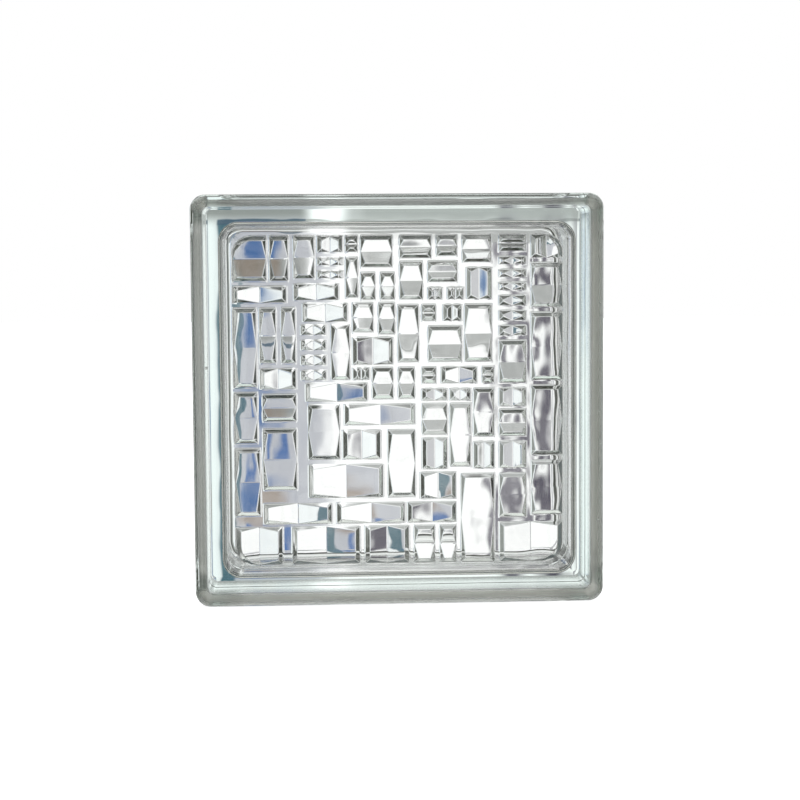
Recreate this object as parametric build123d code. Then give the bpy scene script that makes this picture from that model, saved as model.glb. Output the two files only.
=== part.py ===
from build123d import *
import math
import os

# Hollow glass building block. Two halves are pressed in soda-lime glass and fused at a seam half way
# through, so the block is one piece of glass round a sealed cavity. A rim beside each face keeps the full
# size, and the joint sides between the rims are drawn in as a key for the mortar. The inner side of the
# front face carries a mosaic of pressed cells, and the back face is plain. Lengths are millimetres.

# Block
BLOCK_SIDE = 190.0
BLOCK_DEPTH = 80.0
FACE_CORNER_RADIUS = 7.0
FACE_EDGE_RADIUS = 5.5

# Mortar key in the joint sides
RIM_DEPTH = 10.0
KEY_DEPTH = 5.2
KEY_FLANK_RUN = 4.0
KEY_CORNER_RADIUS = 3.5

# Bead of glass squeezed out along the fused seam, outside and inside
SEAM_BEAD_RADIUS = 1.5
SEAM_BEAD_HEIGHT = 0.6

# Cavity
FACE_WALL = 9.5
SIDE_WALL = 6.5
CAVITY_DRAFT_DEGREES = 1.5
CAVITY_CORNER_RADIUS = 10.0
CAVITY_END_FILLET = 3.5

# Pressed mosaic. A cell is a pocket with a folded floor: the crease of the fold lies close under the level
# of the ribs, and the floor falls from it to the full depth at the cell's two ends. A cell is a little larger
# than its place in the tables below, which makes the ribs narrower.
MOSAIC_MARGIN = 3.5
MOSAIC_CORNER_RADIUS = 8.5
CELL_DEPTH = 1.7
CREASE_DEPTH = 0.2
CELL_OVERSIZE = 0.8
CUT_OVERRUN = 0.4

# How far a wall leans in, as a share of its depth
SIDE_WALL_LEAN_SHARE = 1.25
STEEP_END_LEAN_SHARE = 1.2
SOFT_END_LEAN_SHARE = 1.35

# Places of the cells: left, top, width and height, counted in steps from the mosaic's top left corner.
# One step is this share of the mosaic's side.
STEP_SHARE = 1 / 152

# Cells whose crease lies level, so the floor falls to the top and the foot
LEVEL_CELL_SHARES = [
    (0, 0, 15, 20), (17, 0, 8, 20), (28, 0, 9, 19), (52, 0, 5, 7), (52, 10, 5, 18), (59, 0, 14, 14),
    (59, 17, 6, 12), (68, 17, 6, 12), (77, 0, 14, 10), (77, 12, 10, 17), (94, 0, 9, 9), (106, 0, 13, 12),
    (90, 12, 13, 9), (123, 0, 12, 7), (138, 13, 14, 20), (0, 33, 10, 36), (12, 33, 7, 25), (22, 33, 6, 25),
    (45, 41, 8, 25), (55, 31, 9, 13), (67, 31, 7, 14), (76, 32, 9, 26), (87, 32, 6, 7), (90, 42, 15, 16),
    (107, 32, 12, 26), (123, 49, 12, 19), (138, 36, 14, 31), (0, 72, 10, 23), (13, 73, 15, 12),
    (13, 89, 15, 28), (34, 78, 14, 25), (64, 61, 9, 14), (76, 61, 7, 14), (87, 61, 6, 7), (115, 61, 5, 7),
    (111, 71, 9, 22), (123, 81, 12, 12), (138, 70, 14, 32), (0, 98, 11, 31), (105, 111, 15, 41),
    (123, 111, 12, 20), (138, 105, 14, 25), (83, 135, 9, 17), (95, 135, 7, 17),
]
LEVEL_SOFT_CELL_SHARES = [(71, 90, 12, 31), (87, 78, 11, 14), (100, 78, 9, 29)]

# Cells whose crease stands upright, so the floor falls to the left and the right
UPRIGHT_CELL_SHARES = [
    (39, 0, 11, 7), (39, 10, 11, 3), (39, 16, 11, 3), (0, 23, 24, 7), (28, 22, 20, 7), (32, 31, 20, 8),
    (90, 24, 6, 5), (99, 24, 7, 5), (108, 15, 11, 14), (97, 32, 8, 7), (123, 10, 12, 3), (123, 16, 12, 3),
    (123, 22, 12, 3), (123, 28, 12, 4), (123, 35, 12, 4), (123, 42, 12, 4), (138, 0, 14, 10),
    (31, 41, 11, 4), (31, 48, 11, 4), (31, 55, 11, 4), (31, 62, 11, 4), (12, 61, 16, 9), (55, 47, 18, 12),
    (55, 61, 7, 5), (33, 68, 28, 8), (96, 61, 16, 7), (87, 71, 11, 5), (100, 71, 9, 5), (51, 78, 32, 9),
    (123, 71, 12, 8), (34, 106, 34, 15), (87, 94, 11, 14), (111, 96, 9, 12), (123, 96, 12, 12),
    (86, 110, 16, 12), (80, 124, 22, 9), (13, 124, 31, 9), (47, 124, 31, 9),
]
UPRIGHT_SOFT_CELL_SHARES = [
    (50, 90, 17, 13), (0, 135, 21, 17), (26, 135, 31, 17), (60, 135, 20, 17), (123, 134, 29, 18),
]

# Sizes that follow from the ones above
HALF_DEPTH = BLOCK_DEPTH / 2
CORE_SIDE = BLOCK_SIDE - 2 * KEY_DEPTH
RIM_START = HALF_DEPTH - RIM_DEPTH
FLANK_START = RIM_START - KEY_FLANK_RUN
CAVITY_SIDE = CORE_SIDE - 2 * SIDE_WALL
CAVITY_END = HALF_DEPTH - FACE_WALL
CAVITY_END_SIDE = CAVITY_SIDE - 2 * CAVITY_END * math.tan(math.radians(CAVITY_DRAFT_DEGREES))
MOSAIC_SIDE = CAVITY_END_SIDE - 2 * (CAVITY_END_FILLET + MOSAIC_MARGIN)
MOSAIC_STEP = MOSAIC_SIDE * STEP_SHARE
SEAM_BEAD_SET_BACK = SEAM_BEAD_RADIUS - SEAM_BEAD_HEIGHT


# The block is modelled with its front face towards +Z and stood up at the end.


def rounded_square(side, corner_radius, height):
    """A square with round corners, on the level of that height."""
    return Pos(0, 0, height) * RectangleRounded(side, side, corner_radius)


def seam_bead(side, corner_radius):
    """A round bar bent along a square with round corners, in the plane of the seam."""
    path = rounded_square(side, corner_radius, 0).wire()
    start = Plane(origin=path @ 0, z_dir=path % 0)
    return sweep(start * Circle(SEAM_BEAD_RADIUS), path=path)


def front_half_outside():
    """From the seam to the front face: the drawn-in core, the sloping flank and the full-size rim."""
    core = extrude(rounded_square(CORE_SIDE, KEY_CORNER_RADIUS, 0), HALF_DEPTH - FACE_EDGE_RADIUS)
    flank = loft([
        rounded_square(CORE_SIDE, KEY_CORNER_RADIUS, FLANK_START),
        rounded_square(BLOCK_SIDE, FACE_CORNER_RADIUS, RIM_START),
    ], ruled=True)
    rim = extrude(rounded_square(BLOCK_SIDE, FACE_CORNER_RADIUS, RIM_START), RIM_DEPTH)
    rim = fillet(rim.faces().sort_by(Axis.Z)[-1].edges(), FACE_EDGE_RADIUS)
    return core + flank + rim


def outside():
    """The whole outside, solid, with the bead along the seam."""
    front = front_half_outside()
    bead = seam_bead(CORE_SIDE - 2 * SEAM_BEAD_SET_BACK, KEY_CORNER_RADIUS - SEAM_BEAD_SET_BACK)
    return front + mirror(front, about=Plane.XY) + bead


def cavity():
    """The sealed space inside: widest at the seam, where the inner bead stands into it."""
    seam_outline = rounded_square(CAVITY_SIDE, CAVITY_CORNER_RADIUS, 0)
    half = extrude(seam_outline, CAVITY_END, taper=CAVITY_DRAFT_DEGREES)
    half = fillet(half.faces().sort_by(Axis.Z)[-1].edges(), CAVITY_END_FILLET)
    bead = seam_bead(CAVITY_SIDE + 2 * SEAM_BEAD_SET_BACK, CAVITY_CORNER_RADIUS + SEAM_BEAD_SET_BACK)
    return half + mirror(half, about=Plane.XY) - bead


def folded_profile(length, end_lean_share):
    """Along a cell, from end to end: leaning end walls and a floor folded at the middle."""
    top = length / 2 + CUT_OVERRUN * end_lean_share
    foot = length / 2 - CELL_DEPTH * end_lean_share
    mouth = [(-top, -CUT_OVERRUN), (top, -CUT_OVERRUN)]
    floor = [(foot, CELL_DEPTH), (0, CREASE_DEPTH), (-foot, CELL_DEPTH)]
    return make_face(Polyline([*mouth, *floor], close=True))


def trough_profile(width):
    """Across a cell: two leaning side walls, which meet in a groove where the cell is narrow."""
    top = width / 2 + CUT_OVERRUN * SIDE_WALL_LEAN_SHARE
    depth = CELL_DEPTH + CUT_OVERRUN
    foot = width / 2 - depth * SIDE_WALL_LEAN_SHARE
    mouth = [(-top, -CUT_OVERRUN), (top, -CUT_OVERRUN)]
    floor = [(foot, depth), (-foot, depth)]
    if foot <= 0:
        floor = [(0, width / 2 / SIDE_WALL_LEAN_SHARE)]
    return make_face(Polyline([*mouth, *floor], close=True))


def cell(length, width, end_lean_share):
    """One pocket, its length along Y, its depth along +Z and the level of the ribs at 0."""
    along = extrude(Plane.YZ * folded_profile(length, end_lean_share), width, both=True)
    across = extrude(Plane.XZ * trough_profile(width), length, both=True)
    return along & across


def placed_cells(cell_shares, end_lean_share, upright_crease):
    """The pockets of one table, each turned and put in its place on the inner side of the front face."""
    placed = []
    for left, top, wide, high in cell_shares:
        width = wide * MOSAIC_STEP + CELL_OVERSIZE
        height = high * MOSAIC_STEP + CELL_OVERSIZE
        middle_x = (left + wide / 2) * MOSAIC_STEP - MOSAIC_SIDE / 2
        middle_y = MOSAIC_SIDE / 2 - (top + high / 2) * MOSAIC_STEP
        if upright_crease:
            pocket = Rot(0, 0, 90) * cell(width, height, end_lean_share)
        else:
            pocket = cell(height, width, end_lean_share)
        placed.append(Pos(middle_x, middle_y, CAVITY_END) * pocket)
    return placed


def mosaic():
    """All the pockets of the front face. The outermost corners of the mosaic are round."""
    pockets = [
        *placed_cells(LEVEL_CELL_SHARES, STEEP_END_LEAN_SHARE, False),
        *placed_cells(LEVEL_SOFT_CELL_SHARES, SOFT_END_LEAN_SHARE, False),
        *placed_cells(UPRIGHT_CELL_SHARES, STEEP_END_LEAN_SHARE, True),
        *placed_cells(UPRIGHT_SOFT_CELL_SHARES, SOFT_END_LEAN_SHARE, True),
    ]
    field_side = MOSAIC_SIDE + CELL_OVERSIZE + 2 * CUT_OVERRUN
    field = rounded_square(field_side, MOSAIC_CORNER_RADIUS, CAVITY_END)
    round_field = extrude(field, CELL_DEPTH + CUT_OVERRUN, both=True)
    corner_reach = field_side / 2 - MOSAIC_CORNER_RADIUS
    rounded = []
    for pocket in pockets:
        box = pocket.bounding_box()
        reach_x = max(-box.min.X, box.max.X)
        reach_y = max(-box.min.Y, box.max.Y)
        in_corner = min(reach_x, reach_y) > corner_reach
        rounded.append(pocket & round_field if in_corner else pocket)
    return rounded


def glass_block():
    """The block as it stands in a wall, its front face towards -Y and its foot on the origin's level."""
    block = outside().cut(cavity(), *mosaic())
    return Pos(0, 0, BLOCK_SIDE / 2) * Rot(90, 0, 0) * block


os.makedirs("parts", exist_ok=True)
export_step(glass_block(), "parts/glass_block.step")
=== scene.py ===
import math

import bmesh
import bpy
from bpy.props import FloatProperty, FloatVectorProperty, IntProperty, PointerProperty
from mathutils import Matrix, Vector
from mathutils.geometry import delaunay_2d_cdt


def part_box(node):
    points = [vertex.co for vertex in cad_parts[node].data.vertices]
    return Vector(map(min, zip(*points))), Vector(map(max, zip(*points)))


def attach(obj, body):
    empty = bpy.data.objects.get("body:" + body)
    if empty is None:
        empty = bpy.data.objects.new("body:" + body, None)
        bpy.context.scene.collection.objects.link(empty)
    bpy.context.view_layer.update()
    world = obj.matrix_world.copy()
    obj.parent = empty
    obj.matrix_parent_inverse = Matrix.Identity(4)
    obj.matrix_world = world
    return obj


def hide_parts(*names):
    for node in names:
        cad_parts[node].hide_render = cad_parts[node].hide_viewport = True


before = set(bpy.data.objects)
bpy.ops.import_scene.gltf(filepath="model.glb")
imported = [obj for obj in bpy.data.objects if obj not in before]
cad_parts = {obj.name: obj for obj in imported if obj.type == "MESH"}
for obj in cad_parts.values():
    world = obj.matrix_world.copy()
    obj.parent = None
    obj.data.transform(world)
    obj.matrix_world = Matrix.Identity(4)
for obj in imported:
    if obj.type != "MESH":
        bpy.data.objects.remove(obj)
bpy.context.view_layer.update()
FOOT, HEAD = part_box("glass_block")
MIDDLE_HEIGHT = (FOOT[2] + HEAD[2]) / 2

bl_info = {
    "name": "Hollow glass block",
    "version": (1, 0, 0),
    "blender": (4, 5, 0),
    "location": "3D View > Sidebar > Glass block",
    "description": "Pressed glass block with a mosaic relief inside its front face",
    "category": "Add Mesh",
}

# Places of the mosaic's cells: left, top, width and height, counted in steps from its top left corner.
# One step is this share of the mosaic's side.
STEP_SHARE = 1 / 152

# Cells whose crease lies level, so the floor falls to the top and the foot
LEVEL_CELL_SHARES = [
    (0, 0, 15, 20), (17, 0, 8, 20), (28, 0, 9, 19), (52, 0, 5, 7), (52, 10, 5, 18), (59, 0, 14, 14),
    (59, 17, 6, 12), (68, 17, 6, 12), (77, 0, 14, 10), (77, 12, 10, 17), (94, 0, 9, 9), (106, 0, 13, 12),
    (90, 12, 13, 9), (123, 0, 12, 7), (138, 13, 14, 20), (0, 33, 10, 36), (12, 33, 7, 25), (22, 33, 6, 25),
    (45, 41, 8, 25), (55, 31, 9, 13), (67, 31, 7, 14), (76, 32, 9, 26), (87, 32, 6, 7), (90, 42, 15, 16),
    (107, 32, 12, 26), (123, 49, 12, 19), (138, 36, 14, 31), (0, 72, 10, 23), (13, 73, 15, 12),
    (13, 89, 15, 28), (34, 78, 14, 25), (64, 61, 9, 14), (76, 61, 7, 14), (87, 61, 6, 7), (115, 61, 5, 7),
    (111, 71, 9, 22), (123, 81, 12, 12), (138, 70, 14, 32), (0, 98, 11, 31), (105, 111, 15, 41),
    (123, 111, 12, 20), (138, 105, 14, 25), (83, 135, 9, 17), (95, 135, 7, 17),
]
LEVEL_SOFT_CELL_SHARES = [(71, 90, 12, 31), (87, 78, 11, 14), (100, 78, 9, 29)]

# Cells whose crease stands upright, so the floor falls to the left and the right
UPRIGHT_CELL_SHARES = [
    (39, 0, 11, 7), (39, 10, 11, 3), (39, 16, 11, 3), (0, 23, 24, 7), (28, 22, 20, 7), (32, 31, 20, 8),
    (90, 24, 6, 5), (99, 24, 7, 5), (108, 15, 11, 14), (97, 32, 8, 7), (123, 10, 12, 3), (123, 16, 12, 3),
    (123, 22, 12, 3), (123, 28, 12, 4), (123, 35, 12, 4), (123, 42, 12, 4), (138, 0, 14, 10),
    (31, 41, 11, 4), (31, 48, 11, 4), (31, 55, 11, 4), (31, 62, 11, 4), (12, 61, 16, 9), (55, 47, 18, 12),
    (55, 61, 7, 5), (33, 68, 28, 8), (96, 61, 16, 7), (87, 71, 11, 5), (100, 71, 9, 5), (51, 78, 32, 9),
    (123, 71, 12, 8), (34, 106, 34, 15), (87, 94, 11, 14), (111, 96, 9, 12), (123, 96, 12, 12),
    (86, 110, 16, 12), (80, 124, 22, 9), (13, 124, 31, 9), (47, 124, 31, 9),
]
UPRIGHT_SOFT_CELL_SHARES = [
    (50, 90, 17, 13), (0, 135, 21, 17), (26, 135, 31, 17), (60, 135, 20, 17), (123, 134, 29, 18),
]

# Grid lines of a cell's patch, from its middle outwards. Along the cell a line is set by how much of each
# span lies before it: crease rounding, floor, foot rounding, end wall, edge rounding, border.
ALONG_LINE_SHARES = [
    (0, 0, 0, 0, 0, 0), (0.5, 0, 0, 0, 0, 0), (1, 0, 0, 0, 0, 0), (1, 0.5, 0, 0, 0, 0), (1, 1, 0, 0, 0, 0),
    (1, 1, 0.33, 0, 0, 0), (1, 1, 0.67, 0, 0, 0), (1, 1, 1, 0, 0, 0), (1, 1, 1, 1, 0, 0),
    (1, 1, 1, 1, 0.33, 0), (1, 1, 1, 1, 0.67, 0), (1, 1, 1, 1, 1, 0), (1, 1, 1, 1, 1, 1),
]
# Across the cell the spans are: floor, foot rounding, side wall, edge rounding, border.
ACROSS_LINE_SHARES = [
    (0, 0, 0, 0, 0), (0.5, 0, 0, 0, 0), (1, 0, 0, 0, 0), (1, 0.33, 0, 0, 0), (1, 0.67, 0, 0, 0),
    (1, 1, 0, 0, 0), (1, 1, 1, 0, 0), (1, 1, 1, 0.33, 0), (1, 1, 1, 0.67, 0), (1, 1, 1, 1, 0),
    (1, 1, 1, 1, 1),
]

# Limits that keep the roundings of a narrow cell apart: the shortest side wall and the spare floor as shares
# of the edge rounding, a rounding's reach as a share of the wall, and the foot's as a share of the floor
LEAST_WALL_SHARE = 0.6
SPARE_FLOOR_SHARE = 0.3
WALL_ROUNDING_SHARE = 0.45
FLOOR_ROUNDING_SHARE = 0.9

# Sizes that the tree of the cells takes in: the name of the input and of the setting
CELL_INPUTS = {
    "Depth": "depth",
    "Crease depth": "crease_depth",
    "Side lean": "side_lean",
    "Edge rounding": "edge_rounding",
    "Foot rounding": "foot_rounding",
    "Crease rounding": "crease_rounding",
    "Border": "border",
}

# Small air bubbles left in the glass of the rim: right of the middle, behind the front face, above the foot
# and radius, in millimetres
MILLIMETRE = 0.001
SEEDS = [
    (92.0, 5.0, 168.5, 0.35), (92.2, 4.6, 139.5, 0.40), (91.8, 5.2, 89.0, 0.30), (92.4, 4.8, 74.0, 0.35),
    (91.6, 5.0, 38.5, 0.40), (-88.4, 4.5, 111.0, 0.70),
]
SEED_SUBDIVISIONS = 2

# How near points are that count as one, the decimals that a cell's rim is rounded to, and a length too small
# to show
MERGE_DISTANCE = 1e-6
RIM_DECIMALS = 6
TINY_LENGTH = 1e-9

# How much more the large faces count in the shading than the small ones beside them
FLAT_FACE_WEIGHT = 90

WHITE = (1, 1, 1, 1)


# Kinds of settings


def length(name, description, default):
    """A length a user can change."""
    return FloatProperty(name=name, description=description, default=default, unit="LENGTH", precision=4)


def plain_number(name, description, default):
    """A number without a unit."""
    return FloatProperty(name=name, description=description, default=default)


def factor(name, description, default):
    """A share from 0 to 1."""
    return FloatProperty(name=name, description=description, default=default, subtype="FACTOR",
                         min=0.0, max=1.0)


def angle_in_degrees(name, description, default):
    """An angle."""
    return FloatProperty(name=name, description=description, default=math.radians(default), subtype="ANGLE")


def step_count(name, description, default):
    """A number of steps."""
    return IntProperty(name=name, description=description, default=default, min=1)


def surface_colour(name, description, default):
    """A colour."""
    return FloatVectorProperty(name=name, description=description, default=default, subtype="COLOR", size=4,
                               min=0.0, max=1.0)


class GlassBlockOutside(bpy.types.PropertyGroup):
    """Sizes of the outside of the block."""
    side: length("Side", "Width and height of the block", HEAD[0] - FOOT[0])
    depth: length("Depth", "From face to face", HEAD[1] - FOOT[1])
    corner_radius: length("Corner radius", "Round corners of the outline", 0.0070)
    edge_radius: length("Edge radius", "Rounding between a face and the sides", 0.0055)
    rim_depth: length("Rim depth", "Full-size rim beside each face", 0.010)
    key_depth: length("Key depth", "How far the sides are drawn in", 0.0052)
    key_flank: length("Key flank", "Run of the slope from the rim into the key", 0.004)
    key_corner: length("Key corner", "Round corners of the drawn-in sides", 0.0035)
    key_easing: length("Key easing", "Rounding of the key's edges", 0.0022)
    bead_radius: length("Bead radius", "Rounding of the bead along the seam", 0.0015)
    bead_height: length("Bead height", "How far the bead stands out", 0.0006)
    bead_half_width: length("Bead half width", "From the middle of the seam to the bead's foot", 0.0012)
    corner_segments: step_count("Corner segments", "Steps round a corner of the outline", 14)
    easing_segments: step_count("Easing segments", "Steps round an eased edge", 8)


class GlassBlockInside(bpy.types.PropertyGroup):
    """Sizes of the sealed cavity."""
    face_wall: length("Face wall", "Glass behind each face, at the ribs", 0.0095)
    side_wall: length("Side wall", "Glass beside the key, at the seam", 0.0065)
    draft: angle_in_degrees("Draft", "Lean of the cavity's sides", 1.5)
    corner_radius: length("Corner radius", "Round corners of the cavity at the seam", 0.010)
    end_fillet: length("End fillet", "Rounding where the sides meet the two ends", 0.0035)


class GlassBlockMosaic(bpy.types.PropertyGroup):
    """Sizes of the pressed cells."""
    margin: length("Margin", "Flat border round the mosaic", 0.0035)
    corner_radius: length("Corner radius", "Round outer corners of the mosaic", 0.0085)
    depth: length("Cell depth", "Depth at the two ends of a cell", 0.0017)
    crease_depth: length("Crease depth", "Depth of the fold in the floor", 0.0002)
    oversize: length("Oversize", "How much larger a cell is than its place in the tables", 0.0008)
    side_lean: plain_number("Side lean", "Run of a side wall for its depth", 1.25)
    steep_lean: plain_number("Steep lean", "Run of a steep end wall for its depth", 1.2)
    soft_lean: plain_number("Soft lean", "Run of a soft end wall for its depth", 1.35)
    edge_rounding: length("Edge rounding", "Reach of the rounding at a cell's rim", 0.00048)
    foot_rounding: length("Foot rounding", "Reach of the rounding round a cell's floor", 0.00025)
    crease_rounding: length("Crease rounding", "Reach of the rounding of the fold", 0.0004)
    border: length("Border", "Strip round a cell's rim that its rounding lies in", 0.00052)


class GlassBlockFinish(bpy.types.PropertyGroup):
    """Colour and surface of the glass."""
    tint: surface_colour("Tint", "Colour the glass takes in its depth", (0.80, 0.95, 0.90, 1.0))
    tint_density: plain_number("Tint density", "How fast the tint builds up", 6.5)
    key_colour: surface_colour("Key colour", "Colour of the dull slopes of the key", (0.84, 0.83, 0.73, 1.0))
    key_roughness: factor("Key roughness", "How dull the slopes of the key are", 0.45)
    wave_scale: plain_number("Wave scale", "How many waves of the pressed surface to a metre", 60.0)
    wave_detail: plain_number("Wave detail", "How rough the waves are", 0.5)
    wave_height: length("Wave height", "Height of the waves of the pressed surface", 0.00034)
    calm_share: plain_number("Calm share", "Share of the waves' height that the left has", 0.6)
    lively_share: plain_number("Lively share", "Share of the waves' height that the right has", 1.5)
    calm_end: length("Calm end", "Where the waves start to grow, right of the middle", -0.02)
    lively_start: length("Lively start", "Where the waves stop growing, right of the middle", 0.07)
    frame_share: plain_number("Frame share", "Share of the waves that is left round the mosaic", 0.2)
    mosaic_end: length("Mosaic end", "Where the waves start to fade, out from the middle", 0.071)
    frame_start: length("Frame start", "Where the waves stop fading, out from the middle", 0.080)
    line_scale: plain_number("Line scale", "How many draw lines of the mould to a metre", 450.0)
    line_detail: plain_number("Line detail", "How rough the draw lines are", 2.0)
    line_squeeze: plain_number("Line squeeze", "How dense the lines' pattern is along them, as a share", 0.02)
    line_share: plain_number("Line share", "Height of the draw lines as a share of the waves", 0.12)
    ior: plain_number("Refraction", "Index of refraction of soda-lime glass", 1.52)


class GlassBlockStage(bpy.types.PropertyGroup):
    """Camera and surroundings."""
    distance: length("Distance", "From the front face to the camera", 0.80)
    swing: angle_in_degrees("Swing", "How far the camera stands to the left", 3)
    elevation: angle_in_degrees("Elevation", "Camera height over the block's middle", 4.5)
    roll: angle_in_degrees("Roll", "Turn of the camera about its view", 0.4)
    aim_right: length("Aim right", "How far right of the face's middle the camera looks", 0.0001)
    aim_up: length("Aim up", "How far above the face's middle the camera looks", 0.0006)
    fill_share: factor("Fill", "Share of the picture's width the face takes", 0.5172)
    floor_size: length("Floor size", "Side of the floor", 8.0)
    floor_glow: plain_number("Floor glow", "Brightness of the floor in the block's shadow", 0.72)
    light_level: plain_number("Light level", "Strength of the soft light on the floor", 0.7)


# Mesh of the outside, the cavity and the bubbles


def rounded_square(half, radius, segments):
    """Points round a square with round corners, anticlockwise."""
    points = []
    middle = half - radius
    for corner, (side_x, side_y) in enumerate([(1, 1), (-1, 1), (-1, -1), (1, -1)]):
        for step in range(segments + 1):
            angle = math.pi / 2 * (corner + step / segments)
            x = side_x * middle + radius * math.cos(angle)
            y = side_y * middle + radius * math.sin(angle)
            points.append((x, y))
    return points


def eased(corners, segments):
    """A line through corners (half, depth, radius), each corner rounded off by its radius."""
    line = [Vector(corners[0][:2])]
    for before, here, after in zip(corners, corners[1:], corners[2:]):
        point = Vector(here[:2])
        radius = here[2]
        back = (Vector(before[:2]) - point).normalized()
        ahead = (Vector(after[:2]) - point).normalized()
        half_angle = back.angle(ahead) / 2
        reach = radius / math.tan(half_angle)
        centre = point + (back + ahead).normalized() * (radius / math.sin(half_angle))
        start = point + back * reach - centre
        turn = start.angle_signed(point + ahead * reach - centre)
        for step in range(segments + 1):
            line.append(centre + Matrix.Rotation(-turn * step / segments, 2) @ start)
    line.append(Vector(corners[-1][:2]))
    return line


def front_to_back(front, crown, segments):
    """The eased line from the front end over the crown of the seam to the back end, without its two ends."""
    back = [(across, -depth, radius) for across, depth, radius in reversed(front)]
    return eased([*front, crown, *back], segments)[1:-1]


def add_loop(bm, half, radius, depth, segments):
    """One ring of vertices round the block, at a depth measured from the seam towards the back."""
    return [bm.verts.new((x, depth, MIDDLE_HEIGHT + y)) for x, y in rounded_square(half, radius, segments)]


def bridge(bm, rings, outward):
    """Quads between rings that follow each other from front to back."""
    for front, back in zip(rings, rings[1:]):
        for here in range(len(front)):
            ahead = (here + 1) % len(front)
            corners = [front[here], front[ahead], back[ahead], back[here]]
            bm.faces.new(corners[::-1] if outward else corners)


def outside_line(outside):
    """The outside from the front face's flat to the back face's flat, as (half, depth) points."""
    half = outside.side / 2
    face = outside.depth / 2
    rim = face - outside.rim_depth
    flank = rim - outside.key_flank
    core = half - outside.key_depth
    front = [
        (half - 2 * outside.edge_radius, -face, 0),
        (half, -face, outside.edge_radius),
        (half, -rim, outside.key_easing),
        (core, -flank, outside.key_easing),
        (core, -outside.bead_half_width, outside.bead_radius / 2),
    ]
    crown = (core + outside.bead_height, 0, outside.bead_radius)
    return front_to_back(front, crown, outside.easing_segments)


def dullness(outside, depth):
    """One on the slopes from the rims into the key, fading to zero on the key's floor."""
    rim = outside.depth / 2 - outside.rim_depth
    past_slope = rim - outside.key_flank - abs(depth)
    if abs(depth) >= rim:
        return 0.0
    return min(1.0, max(0.0, 1 - past_slope / outside.key_flank))


def add_outside(bm, outside):
    """The outer skin of the block, both faces included."""
    half = outside.side / 2
    flat = outside.depth / 2 - outside.edge_radius
    taper = (outside.key_corner - outside.corner_radius) / outside.key_depth
    dull = bm.verts.layers.float.new("dull")
    rings = []
    for across, depth in outside_line(outside):
        drawn_in = half - across
        if abs(depth) > flat:
            radius = outside.corner_radius - drawn_in
        else:
            radius = outside.corner_radius + taper * drawn_in
        ring = add_loop(bm, across, radius, depth, outside.corner_segments)
        for vertex in ring:
            vertex[dull] = dullness(outside, depth)
        rings.append(ring)
    bridge(bm, rings, True)
    bm.faces.new(rings[0])
    bm.faces.new(rings[-1][::-1])


def cavity_sizes(outside, inside):
    """Half side of the cavity at the seam, depth of its ends and half side at the ends."""
    seam = outside.side / 2 - outside.key_depth - inside.side_wall
    end = outside.depth / 2 - inside.face_wall
    wall = seam - end * math.tan(inside.draft)
    return seam, end, wall


def cavity_line(outside, inside):
    """The cavity's side from the front end's flat to the back end's flat, as (half, depth) points."""
    seam, end, wall = cavity_sizes(outside, inside)
    front = [
        (wall - 2 * inside.end_fillet, -end, 0),
        (wall, -end, inside.end_fillet),
        (seam, -outside.bead_half_width, outside.bead_radius / 2),
    ]
    crown = (seam - outside.bead_height, 0, outside.bead_radius)
    return front_to_back(front, crown, outside.easing_segments)


def cavity_corner(outside, inside, across):
    """Corner radius of the cavity where its half side is the one given."""
    seam = cavity_sizes(outside, inside)[0]
    return inside.corner_radius - (seam - across)


def add_cavity(bm, outside, inside):
    """The sides of the cavity and its plain back end. Its front end is the ribbed plane."""
    rings = []
    for across, depth in cavity_line(outside, inside):
        radius = cavity_corner(outside, inside, across)
        rings.append(add_loop(bm, across, radius, depth, outside.corner_segments))
    bridge(bm, rings, False)
    bm.faces.new(rings[-1])


def add_seeds(bm, outside):
    """The bubbles, with their faces turned into the air."""
    for seed in SEEDS:
        right, behind, above, radius = (size * MILLIMETRE for size in seed)
        place = Matrix.Translation((right, behind - outside.depth / 2, above))
        made = bmesh.ops.create_icosphere(
            bm, subdivisions=SEED_SUBDIVISIONS, radius=radius, matrix=place)
        faces = {face for vertex in made["verts"] for face in vertex.link_faces}
        bmesh.ops.reverse_faces(bm, faces=list(faces))


# Nodes that the trees share


def joined(tree, socket, value):
    """Links an output to a socket, or sets the socket's number or colour."""
    if isinstance(value, bpy.types.NodeSocket):
        tree.links.new(value, socket)
    else:
        socket.default_value = value


def maths(tree, operation, *values):
    """A Math node and its result."""
    node = tree.nodes.new("ShaderNodeMath")
    node.operation = operation
    for socket, value in zip(node.inputs, values):
        joined(tree, socket, value)
    return node.outputs[0]


def vector_maths(tree, operation, *values):
    """A Vector Math node and its result."""
    node = tree.nodes.new("ShaderNodeVectorMath")
    node.operation = operation
    for socket, value in zip(node.inputs, values):
        joined(tree, socket, value)
    return node.outputs["Value" if operation == "DOT_PRODUCT" else "Vector"]


def combined(tree, x, y, z):
    """A vector from three numbers."""
    node = tree.nodes.new("ShaderNodeCombineXYZ")
    for socket, value in zip(node.inputs, (x, y, z)):
        joined(tree, socket, value)
    return node.outputs[0]


def smooth_step(tree, value, start, end, before, after):
    """A number that goes smoothly from one level to another between a start and an end."""
    node = tree.nodes.new("ShaderNodeMapRange")
    node.interpolation_type = "SMOOTHSTEP"
    tree.links.new(value, node.inputs["Value"])
    node.inputs["From Min"].default_value = start
    node.inputs["From Max"].default_value = end
    node.inputs["To Min"].default_value = before
    node.inputs["To Max"].default_value = after
    return node.outputs["Result"]


def colour_mix(tree, share, first, second):
    """A mix of two colours, by the share of the second."""
    node = tree.nodes.new("ShaderNodeMix")
    node.data_type = "RGBA"
    inputs = {socket.identifier: socket for socket in node.inputs}
    outputs = {socket.identifier: socket for socket in node.outputs}
    joined(tree, inputs["Factor_Float"], share)
    joined(tree, inputs["A_Color"], first)
    joined(tree, inputs["B_Color"], second)
    return outputs["Result_Color"]


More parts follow.
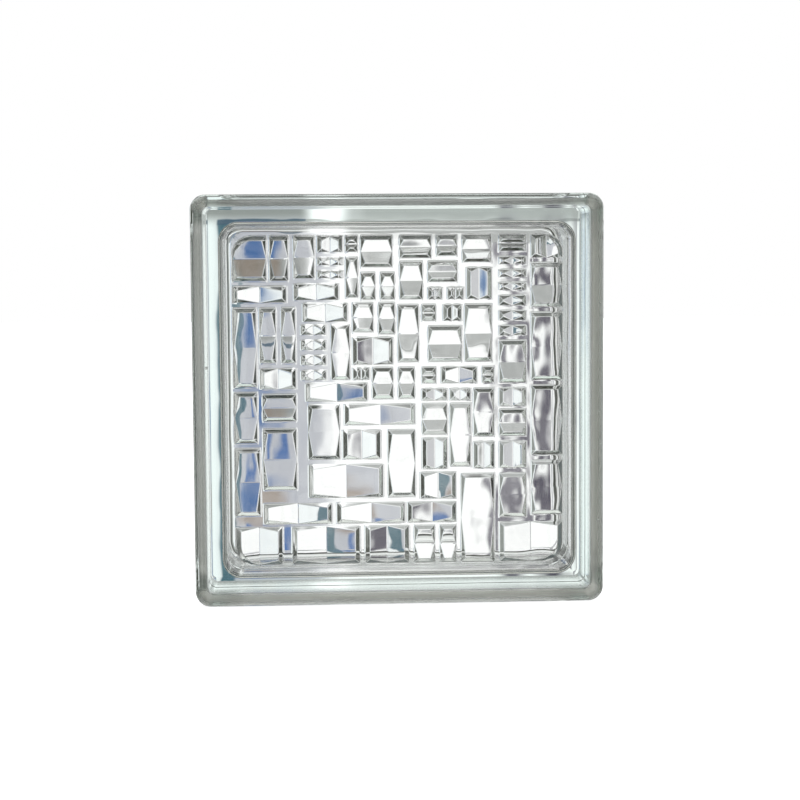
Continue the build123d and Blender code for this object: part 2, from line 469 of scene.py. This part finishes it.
def shader_mix(tree, share, first, second):
    """A mix of two shaders, by the share of the second."""
    node = tree.nodes.new("ShaderNodeMixShader")
    for socket, source in zip(node.inputs, (share, first, second)):
        tree.links.new(source, socket)
    return node.outputs["Shader"]


# Geometry Nodes tree of the pressed cells


def attribute(tree, name, data_type):
    """A named attribute of the realized cells."""
    node = tree.nodes.new("GeometryNodeInputNamedAttribute")
    node.data_type = data_type
    node.inputs["Name"].default_value = name
    return node.outputs["Attribute"]


def twice(tree, value):
    """Two times a value."""
    return maths(tree, "MULTIPLY", value, 2.0)


def smooth_ramp(tree, value, reach):
    """Zero before 0 and the value itself after it, with a round turn of that reach each way."""
    into_turn = maths(tree, "MINIMUM", maths(tree, "ADD", value, reach), twice(tree, reach))
    in_turn = maths(tree, "MAXIMUM", into_turn, 0.0)
    square = maths(tree, "MULTIPLY", in_turn, in_turn)
    turn = maths(tree, "DIVIDE", square, maths(tree, "MULTIPLY", reach, 4.0))
    past_turn = maths(tree, "MAXIMUM", maths(tree, "SUBTRACT", value, reach), 0.0)
    return maths(tree, "ADD", turn, past_turn)


def smooth_distance(tree, value, reach):
    """How far a value is from 0 on either side, with a round turn at 0."""
    other_side = maths(tree, "MULTIPLY", value, -1.0)
    return maths(tree, "ADD", smooth_ramp(tree, value, reach), smooth_ramp(tree, other_side, reach))


def smooth_minimum(tree, first, second, reach):
    """The smaller of two depths, with a round turn where they meet."""
    least = maths(tree, "MINIMUM", first, second)
    turn = maths(tree, "MINIMUM", reach, twice(tree, least))
    turn = maths(tree, "MAXIMUM", turn, TINY_LENGTH)
    apart = maths(tree, "ABSOLUTE", maths(tree, "SUBTRACT", first, second))
    overlap = maths(tree, "MAXIMUM", maths(tree, "SUBTRACT", turn, apart), 0.0)
    square = maths(tree, "MULTIPLY", overlap, overlap)
    drop = maths(tree, "DIVIDE", square, maths(tree, "MULTIPLY", turn, 4.0))
    return maths(tree, "SUBTRACT", least, drop)


def line_place(tree, direction, inner_runs, outer_runs):
    """How far out a line of the patch lies, from its shares of the runs before it."""
    inner_shares = attribute(tree, f"{direction}_inner", "FLOAT_VECTOR")
    outer_shares = attribute(tree, f"{direction}_outer", "FLOAT_VECTOR")
    inner = vector_maths(tree, "DOT_PRODUCT", inner_shares, inner_runs)
    outer = vector_maths(tree, "DOT_PRODUCT", outer_shares, outer_runs)
    return maths(tree, "ADD", inner, outer)


def along_the_cell(tree, given):
    """How far out a line along the cell lies, and how deep the folded floor and the end wall are there."""
    depth = given["Depth"]
    crease_depth = given["Crease depth"]
    edge = given["Edge rounding"]
    foot = given["Foot rounding"]
    crease = given["Crease rounding"]
    half_length = attribute(tree, "half_length", "FLOAT")
    end_lean = attribute(tree, "end_lean", "FLOAT")
    wall_run = maths(tree, "MULTIPLY", depth, end_lean)
    wall_foot = maths(tree, "SUBTRACT", half_length, wall_run)
    floor_run = maths(tree, "SUBTRACT", maths(tree, "SUBTRACT", wall_foot, foot), crease)
    wall_free = maths(tree, "SUBTRACT", maths(tree, "SUBTRACT", wall_run, foot), edge)
    border_run = maths(tree, "SUBTRACT", given["Border"], edge)
    inner_runs = combined(tree, crease, floor_run, twice(tree, foot))
    outer_runs = combined(tree, wall_free, twice(tree, edge), border_run)
    along = line_place(tree, "along", inner_runs, outer_runs)

    fold = maths(tree, "DIVIDE", maths(tree, "SUBTRACT", depth, crease_depth), wall_foot)
    wall_slope = maths(tree, "DIVIDE", -1.0, end_lean)
    bend = maths(tree, "SUBTRACT", wall_slope, fold)
    from_crease = smooth_distance(tree, along, crease)
    from_foot = smooth_ramp(tree, maths(tree, "SUBTRACT", along, wall_foot), foot)
    from_edge = smooth_ramp(tree, maths(tree, "SUBTRACT", along, half_length), edge)
    floor_depth = maths(tree, "MULTIPLY_ADD", fold, from_crease, crease_depth)
    floor_depth = maths(tree, "MULTIPLY_ADD", bend, from_foot, floor_depth)
    floor_depth = maths(tree, "SUBTRACT", floor_depth, maths(tree, "MULTIPLY", wall_slope, from_edge))
    return along, maths(tree, "MAXIMUM", floor_depth, 0.0)


def across_the_cell(tree, given, floor_depth):
    """How far out a line across the cell lies, and how deep the cell is there.

    The side walls reach in as far as the floor is deep.
    """
    side_lean = given["Side lean"]
    edge = given["Edge rounding"]
    foot = given["Foot rounding"]
    half_width = attribute(tree, "half_width", "FLOAT")
    least_run = maths(tree, "MULTIPLY", edge, LEAST_WALL_SHARE)
    most_run = maths(tree, "SUBTRACT", half_width, maths(tree, "MULTIPLY", edge, SPARE_FLOOR_SHARE))
    side_run = maths(tree, "MULTIPLY", floor_depth, side_lean)
    side_run = maths(tree, "MINIMUM", maths(tree, "MAXIMUM", side_run, least_run), most_run)
    side_foot = maths(tree, "SUBTRACT", half_width, side_run)
    side_reach = maths(tree, "MULTIPLY", side_run, WALL_ROUNDING_SHARE)
    floor_reach = maths(tree, "MULTIPLY", side_foot, FLOOR_ROUNDING_SHARE)
    foot_reach = maths(tree, "MINIMUM", maths(tree, "MINIMUM", foot, side_reach), floor_reach)
    edge_reach = maths(tree, "MINIMUM", edge, side_reach)
    floor_half = maths(tree, "SUBTRACT", side_foot, foot_reach)
    side_free = maths(tree, "SUBTRACT", maths(tree, "SUBTRACT", side_run, foot_reach), edge_reach)
    border_run = maths(tree, "SUBTRACT", given["Border"], edge_reach)
    inner_runs = combined(tree, floor_half, twice(tree, foot_reach), side_free)
    outer_runs = combined(tree, twice(tree, edge_reach), border_run, 0.0)
    across = line_place(tree, "across", inner_runs, outer_runs)

    eased_across = smooth_distance(tree, across, edge_reach)
    past_edge = smooth_ramp(tree, maths(tree, "SUBTRACT", across, half_width), edge_reach)
    to_edge = maths(tree, "ADD", maths(tree, "SUBTRACT", half_width, eased_across), past_edge)
    side_depth = maths(tree, "MAXIMUM", maths(tree, "DIVIDE", to_edge, side_lean), 0.0)
    return across, smooth_minimum(tree, floor_depth, side_depth, foot)


def cell_tree():
    """The tree that presses a patch at every point into a cell of that point's size."""
    tree = bpy.data.node_groups.new("pressed_cells", "GeometryNodeTree")
    face = tree.interface
    face.new_socket("Geometry", in_out="INPUT", socket_type="NodeSocketGeometry")
    face.new_socket("Patch", in_out="INPUT", socket_type="NodeSocketObject")
    for name in CELL_INPUTS:
        face.new_socket(name, in_out="INPUT", socket_type="NodeSocketFloat")
    face.new_socket("Material", in_out="INPUT", socket_type="NodeSocketMaterial")
    face.new_socket("Geometry", in_out="OUTPUT", socket_type="NodeSocketGeometry")
    given = tree.nodes.new("NodeGroupInput").outputs

    patch = tree.nodes.new("GeometryNodeObjectInfo")
    tree.links.new(given["Patch"], patch.inputs["Object"])
    copies = tree.nodes.new("GeometryNodeInstanceOnPoints")
    tree.links.new(given["Geometry"], copies.inputs["Points"])
    tree.links.new(patch.outputs["Geometry"], copies.inputs["Instance"])
    realized = tree.nodes.new("GeometryNodeRealizeInstances")
    tree.links.new(copies.outputs["Instances"], realized.inputs["Geometry"])

    # Put every vertex in its place, turned where the crease stands upright
    along, floor_depth = along_the_cell(tree, given)
    across, pressed = across_the_cell(tree, given, floor_depth)
    sides = tree.nodes.new("ShaderNodeSeparateXYZ")
    tree.links.new(attribute(tree, "sides", "FLOAT_VECTOR"), sides.inputs[0])
    x = maths(tree, "MULTIPLY", sides.outputs["X"], across)
    y = maths(tree, "MULTIPLY", sides.outputs["Y"], along)
    turn = tree.nodes.new("ShaderNodeVectorRotate")
    turn.rotation_type = "Z_AXIS"
    tree.links.new(combined(tree, x, y, pressed), turn.inputs["Vector"])
    tree.links.new(attribute(tree, "turn", "FLOAT"), turn.inputs["Angle"])
    place = vector_maths(tree, "ADD", attribute(tree, "middle", "FLOAT_VECTOR"), turn.outputs["Vector"])
    moved = tree.nodes.new("GeometryNodeSetPosition")
    tree.links.new(realized.outputs["Geometry"], moved.inputs["Geometry"])
    tree.links.new(place, moved.inputs["Position"])
    painted = tree.nodes.new("GeometryNodeSetMaterial")
    tree.links.new(moved.outputs["Geometry"], painted.inputs["Geometry"])
    tree.links.new(given["Material"], painted.inputs["Material"])
    result = tree.nodes.new("NodeGroupOutput")
    tree.links.new(painted.outputs["Geometry"], result.inputs["Geometry"])
    return tree


# Mosaic


def mirrored_lines(line_shares):
    """The lines of a half, and with a negative side the lines of the other half."""
    half = [(1, shares) for shares in line_shares]
    other = [(-1, shares) for shares in reversed(line_shares[1:])]
    return other + half


def cell_patch():
    """A flat grid whose vertices carry their line's shares along and across the cell."""
    along_lines = mirrored_lines(ALONG_LINE_SHARES)
    across_lines = mirrored_lines(ACROSS_LINE_SHARES)
    wide = len(across_lines)
    corners = [(column, row, 0) for row in range(len(along_lines)) for column in range(wide)]
    quads = []
    for row in range(len(along_lines) - 1):
        for column in range(wide - 1):
            here = row * wide + column
            quads.append((here, here + wide, here + wide + 1, here + 1))
    mesh = bpy.data.meshes.new("cell_patch")
    mesh.from_pydata(corners, [], quads)
    names = ["along_inner", "along_outer", "across_inner", "across_outer", "sides"]
    values = {name: [] for name in names}
    for along_side, along in along_lines:
        for across_side, across in across_lines:
            values["along_inner"].extend(along[:3])
            values["along_outer"].extend(along[3:])
            values["across_inner"].extend(across[:3])
            values["across_outer"].extend((*across[3:], 0))
            values["sides"].extend((across_side, along_side, 0))
    for name, numbers in values.items():
        mesh.attributes.new(name, "FLOAT_VECTOR", "POINT").data.foreach_set("vector", numbers)
    patch = bpy.data.objects.new("cell_patch", mesh)
    bpy.context.collection.objects.link(patch)
    return patch


def cell_points(mosaic, side):
    """One point for each cell, with the cell's half sizes, its lean and its turn."""
    tables = [
        (LEVEL_CELL_SHARES, mosaic.steep_lean, False),
        (LEVEL_SOFT_CELL_SHARES, mosaic.soft_lean, False),
        (UPRIGHT_CELL_SHARES, mosaic.steep_lean, True),
        (UPRIGHT_SOFT_CELL_SHARES, mosaic.soft_lean, True),
    ]
    step = side * STEP_SHARE
    middles = []
    numbers = {name: [] for name in ["half_length", "half_width", "end_lean", "turn"]}
    for cell_shares, lean, upright in tables:
        for left, top, wide, high in cell_shares:
            middles.append(((left + wide / 2) * step - side / 2, side / 2 - (top + high / 2) * step, 0))
            numbers["half_length"].append(((wide if upright else high) * step + mosaic.oversize) / 2)
            numbers["half_width"].append(((high if upright else wide) * step + mosaic.oversize) / 2)
            numbers["end_lean"].append(lean)
            numbers["turn"].append(math.pi / 2 if upright else 0)
    mesh = bpy.data.meshes.new("mosaic_cells")
    mesh.from_pydata(middles, [], [])
    for name, values in numbers.items():
        mesh.attributes.new(name, "FLOAT", "POINT").data.foreach_set("value", values)
    places = [number for middle in middles for number in middle]
    mesh.attributes.new("middle", "FLOAT_VECTOR", "POINT").data.foreach_set("vector", places)
    points = bpy.data.objects.new("mosaic_cells", mesh)
    bpy.context.collection.objects.link(points)
    return points


def evaluated_mesh(piece):
    """A plain mesh of a piece with its modifiers applied."""
    graph = bpy.context.evaluated_depsgraph_get()
    return bpy.data.meshes.new_from_object(piece.evaluated_get(graph), preserve_all_data_layers=True,
                                           depsgraph=graph)


def mosaic_mesh(mosaic, side, material):
    """All the cells, flat in x and y, with their depth along z."""
    patch = cell_patch()
    points = cell_points(mosaic, side)
    modifier = points.modifiers.new("pressed_cells", "NODES")
    tree = cell_tree()
    modifier.node_group = tree
    settings = {name: getattr(mosaic, setting) for name, setting in CELL_INPUTS.items()}
    settings["Patch"] = patch
    settings["Material"] = material
    for item in tree.interface.items_tree:
        if item.in_out == "INPUT" and item.name in settings:
            modifier[item.identifier] = settings[item.name]
    mesh = evaluated_mesh(points)
    bpy.data.objects.remove(points)
    bpy.data.objects.remove(patch)
    return mesh


def round_corners(mesh, side, radius):
    """Turns the mosaic's square outer corners into round ones."""
    start = side / 2 - radius
    for vertex in mesh.vertices:
        out_x = abs(vertex.co.x) - start
        out_y = abs(vertex.co.y) - start
        if out_x > 0 and out_y > 0:
            reach = max(out_x, out_y)
            swing = math.pi / 4 * min(out_x, out_y) / reach
            angle = swing if out_x >= out_y else math.pi / 2 - swing
            vertex.co.x = math.copysign(start + reach * math.cos(angle), vertex.co.x)
            vertex.co.y = math.copysign(start + reach * math.sin(angle), vertex.co.y)


def ribbed_end(mesh, flat_ring):
    """The cells joined by flat ribs out to the ring where the cavity's fillet starts."""
    patch_size = (2 * len(ALONG_LINE_SHARES) - 1) * (2 * len(ACROSS_LINE_SHARES) - 1)
    bm = bmesh.new()
    bm.from_mesh(mesh)
    rims = [edge for edge in bm.edges if edge.is_boundary]
    corners = sorted({vertex for edge in rims for vertex in edge.verts}, key=lambda vertex: vertex.index)
    cell_numbers = [vertex.index // patch_size for vertex in corners]
    for vertex in corners:
        vertex.co = (round(vertex.co.x, RIM_DECIMALS), round(vertex.co.y, RIM_DECIMALS), 0)
    ring = [bm.verts.new((x, y, 0)) for x, y in flat_ring]
    corners.extend(ring)
    cell_numbers.extend(-1 - number for number in range(len(ring)))
    place = {vertex: number for number, vertex in enumerate(corners)}
    borders = [(place[edge.verts[0]], place[edge.verts[1]]) for edge in rims]
    borders.extend((place[here], place[ahead]) for here, ahead in zip(ring, ring[1:] + ring[:1]))
    filled = delaunay_2d_cdt([vertex.co.xy for vertex in corners], borders, [], 0, TINY_LENGTH)
    triangles, sources = filled[2], filled[3]
    for triangle in triangles:
        numbers = [sources[number][0] for number in reversed(triangle)]
        inside_one_cell = len({cell_numbers[number] for number in numbers}) == 1
        if not inside_one_cell:
            bm.faces.new([corners[number] for number in numbers])
    ribbed = bpy.data.meshes.new("ribbed_end")
    bm.to_mesh(ribbed)
    bm.free()
    return ribbed


def front_end(outside, inside, mosaic, material):
    """The front end of the cavity with its mosaic, stood up in its place."""
    flat_half = cavity_line(outside, inside)[0][0]
    side = 2 * (flat_half - mosaic.margin)
    relief = mosaic_mesh(mosaic, side, material)
    round_corners(relief, side + mosaic.oversize, mosaic.corner_radius)
    corner = cavity_corner(outside, inside, flat_half)
    mesh = ribbed_end(relief, rounded_square(flat_half, corner, outside.corner_segments))
    end = cavity_sizes(outside, inside)[1]
    stood_up = Matrix.Rotation(math.pi / 2, 4, "X")
    mesh.transform(Matrix.Translation((0, -end, MIDDLE_HEIGHT)) @ stood_up)
    return mesh


def block_mesh(outside, inside, mosaic, material):
    """Outer skin, cavity, mosaic and bubbles in one closed mesh."""
    mosaic_end = front_end(outside, inside, mosaic, material)
    bm = bmesh.new()
    add_outside(bm, outside)
    add_cavity(bm, outside, inside)
    bm.from_mesh(mosaic_end)
    bmesh.ops.remove_doubles(bm, verts=bm.verts, dist=MERGE_DISTANCE)
    add_seeds(bm, outside)
    open_edges = [edge for edge in bm.edges if len(edge.link_faces) != 2]
    if open_edges:
        raise RuntimeError(f"the glass has {len(open_edges)} open edges")
    mesh = bpy.data.meshes.new("glass_block_skin")
    bm.to_mesh(mesh)
    bm.free()
    for face in mesh.polygons:
        face.use_smooth = True
    mesh.materials.clear()
    mesh.materials.append(material)
    return mesh


class GLASS_OT_block(bpy.types.Operator):
    """Builds the block: outer skin, cavity, pressed mosaic and bubbles in one closed mesh"""
    bl_idname = "glass.block"
    bl_label = "Build the glass block"

    def execute(self, context):
        scene = context.scene
        material = clear_glass(scene.glass_finish)
        mesh = block_mesh(scene.glass_outside, scene.glass_inside, scene.glass_mosaic, material)
        block = bpy.data.objects.new("pressed_glass_block", mesh)
        context.collection.objects.link(block)
        block.modifiers.new("flat_faces_stay_flat", "WEIGHTED_NORMAL").weight = FLAT_FACE_WEIGHT
        finished = evaluated_mesh(block)
        block.modifiers.clear()
        block.data = finished
        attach(block, "root")
        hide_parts("glass_block")
        return {"FINISHED"}


# Glass


def noise(tree, place, scale, detail):
    """A noise texture's value."""
    node = tree.nodes.new("ShaderNodeTexNoise")
    node.inputs["Scale"].default_value = scale
    node.inputs["Detail"].default_value = detail
    tree.links.new(place, node.inputs["Vector"])
    return node.outputs["Fac"]


def wave_share(tree, place, finish):
    """How high the waves are: calm on the left, lively on the right and almost none round the mosaic."""
    axes = tree.nodes.new("ShaderNodeSeparateXYZ")
    tree.links.new(place, axes.inputs[0])
    right = axes.outputs["X"]
    up = maths(tree, "SUBTRACT", axes.outputs["Z"], MIDDLE_HEIGHT)
    out = maths(tree, "MAXIMUM", maths(tree, "ABSOLUTE", right), maths(tree, "ABSOLUTE", up))
    to_right = smooth_step(tree, right, finish.calm_end, finish.lively_start,
                           finish.calm_share, finish.lively_share)
    in_mosaic = smooth_step(tree, out, finish.mosaic_end, finish.frame_start, 1.0, finish.frame_share)
    return maths(tree, "MULTIPLY", to_right, in_mosaic)


def pressed_surface(tree, finish):
    """The waves of the pressed glass and the draw lines of the mould, as a bumped normal."""
    place = tree.nodes.new("ShaderNodeTexCoord").outputs["Object"]
    waves = noise(tree, place, finish.wave_scale, finish.wave_detail)
    height = maths(tree, "MULTIPLY", waves, wave_share(tree, place, finish))
    squeeze = tree.nodes.new("ShaderNodeMapping")
    squeeze.inputs["Scale"].default_value = (finish.line_squeeze, 1.0, finish.line_squeeze)
    tree.links.new(place, squeeze.inputs["Vector"])
    lines = noise(tree, squeeze.outputs["Vector"], finish.line_scale, finish.line_detail)
    height = maths(tree, "MULTIPLY_ADD", lines, finish.line_share, height)
    bump = tree.nodes.new("ShaderNodeBump")
    bump.inputs["Strength"].default_value = 1.0
    bump.inputs["Distance"].default_value = finish.wave_height
    tree.links.new(height, bump.inputs["Height"])
    return bump.outputs["Normal"]


def clear_glass(finish):
    """Clear soda-lime glass with a faint green depth and dull slopes in the key."""
    material = bpy.data.materials.new("clear_pressed_glass")
    material.use_nodes = True
    tree = material.node_tree
    shader = tree.nodes["Principled BSDF"]
    shader.inputs["Transmission Weight"].default_value = 1.0
    shader.inputs["IOR"].default_value = finish.ior
    dull = tree.nodes.new("ShaderNodeAttribute")
    dull.attribute_name = "dull"
    dusty = colour_mix(tree, dull.outputs["Fac"], WHITE, finish.key_colour)
    tree.links.new(dusty, shader.inputs["Base Color"])
    roughness = maths(tree, "MULTIPLY", dull.outputs["Fac"], finish.key_roughness)
    tree.links.new(roughness, shader.inputs["Roughness"])
    tree.links.new(pressed_surface(tree, finish), shader.inputs["Normal"])
    depth = tree.nodes.new("ShaderNodeVolumeAbsorption")
    depth.inputs["Color"].default_value = finish.tint
    depth.inputs["Density"].default_value = finish.tint_density
    tree.links.new(depth.outputs["Volume"], tree.nodes["Material Output"].inputs["Volume"])
    return material


# Stage


# The dark ring of the room on the camera's side: from and to, softness of its edges, all in degrees off the
# block's axis, and the colour
DARK_RING = (60, 84, 6, (0.10, 0.12, 0.12))

# Cards that stand round the block in front of the white backdrop and show in the glass, from the far ones to
# the near ones: swing to the right from and to, height from and to, softness of the edges, all in degrees off
# the block's axis, and the colour
CARDS = [
    (-96, 96, -96, -52, 6, (0.84, 0.85, 0.81)),
    (-96, -50, -40, 40, 10, (0.42, 0.43, 0.40)),
    (50, 96, -40, 40, 10, (0.42, 0.43, 0.40)),
    (-42, 43, -44, 43, 4, (0.035, 0.038, 0.028)),
    (-46, -34, -8, 8, 3, (0.85, 0.86, 0.84)),
    (-24, 24, -47, -36, 3, (0.70, 0.72, 0.70)),
    (-21, 25, -25, 21, 4, (1.00, 1.00, 1.00)),
    (-24, 1.5, 1.2, 20, 1, (0.32, 0.33, 0.32)),
    (1.5, 22, 1.2, 20, 1, (0.46, 0.47, 0.46)),
    (-24, 22, 9, 13.5, 1.5, (0.98, 1.00, 0.99)),
    (-24, -15, -30, 1.4, 2, (0.28, 0.30, 0.28)),
    (-15, -2.9, -30, 1.4, 0.5, (0.98, 1.02, 1.02)),
    (-2.9, 1, -26, 1.4, 0.5, (0.54, 0.55, 0.59)),
    (0.6, 13, -26, 1.1, 1, (1.10, 1.10, 1.09)),
    (0, 1.3, 1, 30, 0.6, (1.20, 1.20, 1.20)),
    (-2.95, -2.5, -30, 1.4, 0.1, (0.09, 0.17, 0.21)),
    (-2.95, -0.1, 1.27, 1.42, 0.06, (0.08, 0.13, 0.18)),
    (-0.1, 12, 1.27, 1.42, 0.06, (0.42, 0.43, 0.42)),
    (-8, -5.5, -3, 8, 1.5, (0.12, 0.22, 0.42)),
    (-2.6, -1, 2.4, 4, 1, (0.05, 0.11, 0.28)),
    (-2.6, -1, 4, 9, 1, (0.27, 0.23, 0.19)),
    (-2.4, -1, -5.6, -3.9, 1, (0.06, 0.15, 0.36)),
    (-2.4, -1, -8.6, -7.2, 0.8, (0.38, 0.32, 0.28)),
    (-1.15, -0.6, -12, -8.6, 0.4, (0.10, 0.19, 0.42)),
    (-1.85, -1.55, -12, -8.6, 0.3, (0.10, 0.19, 0.42)),
    (-2.4, -1.6, -24, -16, 1, (0.08, 0.17, 0.38)),
    (1.5, 3.5, -17, -13, 1, (0.30, 0.30, 0.31)),
    (4, 6, -21, -15, 1, (0.45, 0.45, 0.47)),
    (6.2, 7, -26, 1.4, 0.6, (0.18, 0.17, 0.20)),
    (7.5, 8.3, -26, 1.4, 0.6, (0.10, 0.09, 0.12)),
    (8.8, 9.5, -26, 1.4, 0.6, (0.18, 0.17, 0.20)),
    (13, 20, -20, 6, 2, (0.60, 0.60, 0.62)),
]


def between(tree, value, start, end, softness):
    """One from start to end, in degrees, falling to zero over the softness on both sides."""
    half = softness / 2
    rise = smooth_step(tree, value, math.radians(start - half), math.radians(start + half), 0.0, 1.0)
    fall = smooth_step(tree, value, math.radians(end - half), math.radians(end + half), 1.0, 0.0)
    return maths(tree, "MULTIPLY", rise, fall)


def room_in_glass(tree):
    """What the glass shows: the white backdrop, the cards in front of it and the dark ring."""
    where = tree.nodes.new("ShaderNodeTexCoord")
    axes = tree.nodes.new("ShaderNodeSeparateXYZ")
    tree.links.new(where.outputs["Generated"], axes.inputs[0])
    through = maths(tree, "ABSOLUTE", axes.outputs["Y"])
    swing = maths(tree, "ARCTAN2", axes.outputs["X"], through)
    height = maths(tree, "ARCSINE", axes.outputs["Z"])
    colour = WHITE
    for left, right, low, high, softness, card_colour in CARDS:
        in_width = between(tree, swing, left, right, softness)
        in_height = between(tree, height, low, high, softness)
        on_card = maths(tree, "MULTIPLY", in_width, in_height)
        colour = colour_mix(tree, on_card, colour, (*card_colour, 1))
    start, end, softness, ring_colour = DARK_RING
    ring = between(tree, maths(tree, "ARCCOSINE", through), start, end, softness)
    camera_side = maths(tree, "LESS_THAN", axes.outputs["Y"], 0.0)
    on_ring = maths(tree, "MULTIPLY", ring, camera_side)
    return colour_mix(tree, on_ring, colour, (*ring_colour, 1))


def studio_world(stage):
    """A bare white backdrop for the camera, with cards for the glass, and soft light for the floor."""
    world = bpy.data.worlds.new("studio")
    world.use_nodes = True
    tree = world.node_tree
    path = tree.nodes.new("ShaderNodeLightPath")
    to_camera = path.outputs["Is Camera Ray"]
    backdrop = tree.nodes.new("ShaderNodeBackground")
    tree.links.new(colour_mix(tree, to_camera, room_in_glass(tree), WHITE), backdrop.inputs["Color"])
    light = tree.nodes["Background"]
    light.inputs["Color"].default_value = WHITE
    light.inputs["Strength"].default_value = stage.light_level
    in_glass = maths(tree, "MAXIMUM", path.outputs["Is Glossy Ray"], path.outputs["Is Transmission Ray"])
    sees_backdrop = maths(tree, "MAXIMUM", to_camera, in_glass)
    seen = shader_mix(tree, sees_backdrop, light.outputs["Background"], backdrop.outputs["Background"])
    tree.links.new(seen, tree.nodes["World Output"].inputs["Surface"])
    return world


def white_floor(stage):
    """White for the camera, darker in the block's shadow, and open to light that comes through glass."""
    material = bpy.data.materials.new("white_floor")
    material.use_nodes = True
    tree = material.node_tree
    glow = tree.nodes.new("ShaderNodeEmission")
    glow.inputs["Strength"].default_value = stage.floor_glow
    shaded = tree.nodes.new("ShaderNodeBsdfDiffuse")
    shaded.inputs["Color"].default_value = WHITE
    paper = tree.nodes.new("ShaderNodeAddShader")
    tree.links.new(glow.outputs["Emission"], paper.inputs[0])
    tree.links.new(shaded.outputs["BSDF"], paper.inputs[1])
    clear = tree.nodes.new("ShaderNodeBsdfTransparent")
    path = tree.nodes.new("ShaderNodeLightPath")
    floor = shader_mix(tree, path.outputs["Is Camera Ray"], clear.outputs["BSDF"], paper.outputs["Shader"])
    tree.links.new(floor, tree.nodes["Material Output"].inputs["Surface"])
    return material


def add_floor(context, stage):
    """A plain floor under the block."""
    half = stage.floor_size / 2
    mesh = bpy.data.meshes.new("floor")
    corners = [(-half, -half, 0), (half, -half, 0), (half, half, 0), (-half, half, 0)]
    mesh.from_pydata(corners, [], [(0, 1, 2, 3)])
    mesh.materials.append(white_floor(stage))
    floor = bpy.data.objects.new("floor", mesh)
    context.collection.objects.link(floor)


def add_camera(context, stage):
    """A camera that looks at the middle of the front face, a little from the left and from above."""
    lens = bpy.data.cameras.new("camera")
    camera = bpy.data.objects.new("camera", lens)
    context.collection.objects.link(camera)
    target = Vector((stage.aim_right, FOOT[1], MIDDLE_HEIGHT + stage.aim_up))
    away = Vector((
        -math.sin(stage.swing) * math.cos(stage.elevation),
        -math.cos(stage.swing) * math.cos(stage.elevation),
        math.sin(stage.elevation)))
    place = Matrix.Translation(target + away * stage.distance)
    look = (-away).to_track_quat("-Z", "Y").to_matrix().to_4x4()
    camera.matrix_world = place @ look @ Matrix.Rotation(-stage.roll, 4, "Z")
    side = HEAD[0] - FOOT[0]
    lens.lens = lens.sensor_width * stage.distance * stage.fill_share / side
    context.scene.camera = camera


class GLASS_OT_stage(bpy.types.Operator):
    """Sets up the floor, the surroundings and the camera"""
    bl_idname = "glass.stage"
    bl_label = "Set the stage"

    def execute(self, context):
        stage = context.scene.glass_stage
        add_floor(context, stage)
        context.scene.world = studio_world(stage)
        context.scene.view_settings.view_transform = "Standard"
        add_camera(context, stage)
        return {"FINISHED"}


class GLASS_PT_panel(bpy.types.Panel):
    """Sizes, colours and the steps of the build"""
    bl_idname = "GLASS_PT_panel"
    bl_label = "Glass block"
    bl_space_type = "VIEW_3D"
    bl_region_type = "UI"
    bl_category = "Glass block"

    def draw(self, context):
        layout = self.layout
        for group, _ in SETTINGS:
            settings = getattr(context.scene, group)
            box = layout.box()
            for name in settings.__annotations__:
                box.prop(settings, name)
        layout.operator(GLASS_OT_block.bl_idname)
        layout.operator(GLASS_OT_stage.bl_idname)


SETTINGS = [
    ("glass_outside", GlassBlockOutside),
    ("glass_inside", GlassBlockInside),
    ("glass_mosaic", GlassBlockMosaic),
    ("glass_finish", GlassBlockFinish),
    ("glass_stage", GlassBlockStage),
]
CLASSES = [group for _, group in SETTINGS] + [GLASS_OT_block, GLASS_OT_stage, GLASS_PT_panel]


def register():
    for item in CLASSES:
        bpy.utils.register_class(item)
    for name, group in SETTINGS:
        setattr(bpy.types.Scene, name, PointerProperty(type=group))


def unregister():
    for name, _ in SETTINGS:
        delattr(bpy.types.Scene, name)
    for item in reversed(CLASSES):
        bpy.utils.unregister_class(item)


def main():
    register()
    bpy.ops.glass.block()
    bpy.ops.glass.stage()


if __name__ == "__main__":
    main()
